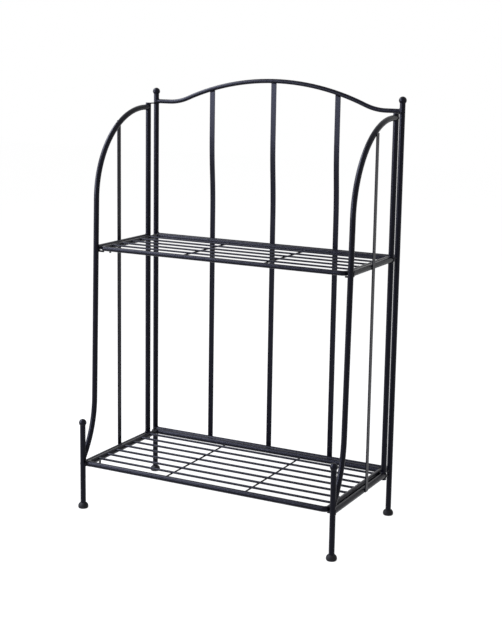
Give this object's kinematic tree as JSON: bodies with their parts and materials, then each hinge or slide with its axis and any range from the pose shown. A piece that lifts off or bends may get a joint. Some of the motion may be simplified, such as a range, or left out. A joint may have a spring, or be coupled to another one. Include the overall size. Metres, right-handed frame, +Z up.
{
  "type": "folding etagere",
  "caption": "Free-standing black steel etagere with wire shelves, swept side panels on hinge pins and an arched back frame; shelves fold up.",
  "frame": {"origin": "on the floor, midway between the two back posts and midway between the posts and the front legs", "axes": "+X to the right as seen from the front, +Y to the back, +Z up"},
  "size_m": [0.6204, 0.3208, 0.9343],
  "materials": {
    "black_coat": "satin black powder coat",
    "foot_rubber": "matt black moulded cap",
    "bush_nylon": "matt black nylon"
  },
  "bodies": {
    "back_frame": {"post_left": "black_coat", "post_right": "black_coat", "finial_back_left": "black_coat", "finial_back_right": "black_coat", "foot_back_left": "foot_rubber", "foot_back_right": "foot_rubber", "arch_rail": "black_coat", "upper_back_rail": "black_coat", "lower_back_rail": "black_coat", "back_slat_left": "black_coat", "back_slat_centre": "black_coat", "back_slat_right": "black_coat", "hinge_pin_top_left": "black_coat", "hinge_pin_top_right": "black_coat", "hinge_pin_bottom_left": "black_coat", "hinge_pin_bottom_right": "black_coat", "upper_shelf_pivot_pins": "black_coat", "lower_shelf_pivot_pins": "black_coat"},
    "left_side": {"upright_left": "black_coat", "swept_rail_left": "black_coat", "leg_left": "black_coat", "upper_side_rail_left": "black_coat", "lower_side_rail_left": "black_coat", "side_slat_left": "black_coat", "finial_front_left": "black_coat", "foot_front_left": "foot_rubber", "upright_bushes_left": "bush_nylon", "shelf_rests_left": "black_coat"},
    "right_side": {"upright_right": "black_coat", "swept_rail_right": "black_coat", "leg_right": "black_coat", "upper_side_rail_right": "black_coat", "lower_side_rail_right": "black_coat", "side_slat_right": "black_coat", "finial_front_right": "black_coat", "foot_front_right": "foot_rubber", "upright_bushes_right": "bush_nylon", "shelf_rests_right": "black_coat"},
    "upper_shelf": {"upper_shelf_rim": "black_coat", "upper_shelf_rear_bar": "black_coat", "upper_shelf_wires": "black_coat", "upper_shelf_cross_wires": "black_coat", "upper_shelf_pegs": "black_coat", "upper_shelf_bushes": "bush_nylon"},
    "lower_shelf": {"lower_shelf_rim": "black_coat", "lower_shelf_rear_bar": "black_coat", "lower_shelf_wires": "black_coat", "lower_shelf_cross_wires": "black_coat", "lower_shelf_pegs": "black_coat", "lower_shelf_bushes": "bush_nylon"}
  },
  "joints": [
    {"name": "left_side_swing", "type": "hinge", "parent": "back_frame", "child": "left_side", "pos_m": [-0.299, 0.11505, 0.48], "axis": [0, 0, -1], "range_deg": [0, 90]},
    {"name": "right_side_swing", "type": "hinge", "parent": "back_frame", "child": "right_side", "pos_m": [0.299, 0.11505, 0.48], "axis": [0, 0, 1], "range_deg": [0, 90]},
    {"name": "upper_shelf_fold", "type": "hinge", "parent": "back_frame", "child": "upper_shelf", "pos_m": [0, 0.13375, 0.5692], "axis": [-1, 0, 0], "range_deg": [0, 90]},
    {"name": "lower_shelf_fold", "type": "hinge", "parent": "back_frame", "child": "lower_shelf", "pos_m": [0, 0.13375, 0.1028], "axis": [-1, 0, 0], "range_deg": [0, 90]}
  ]
}
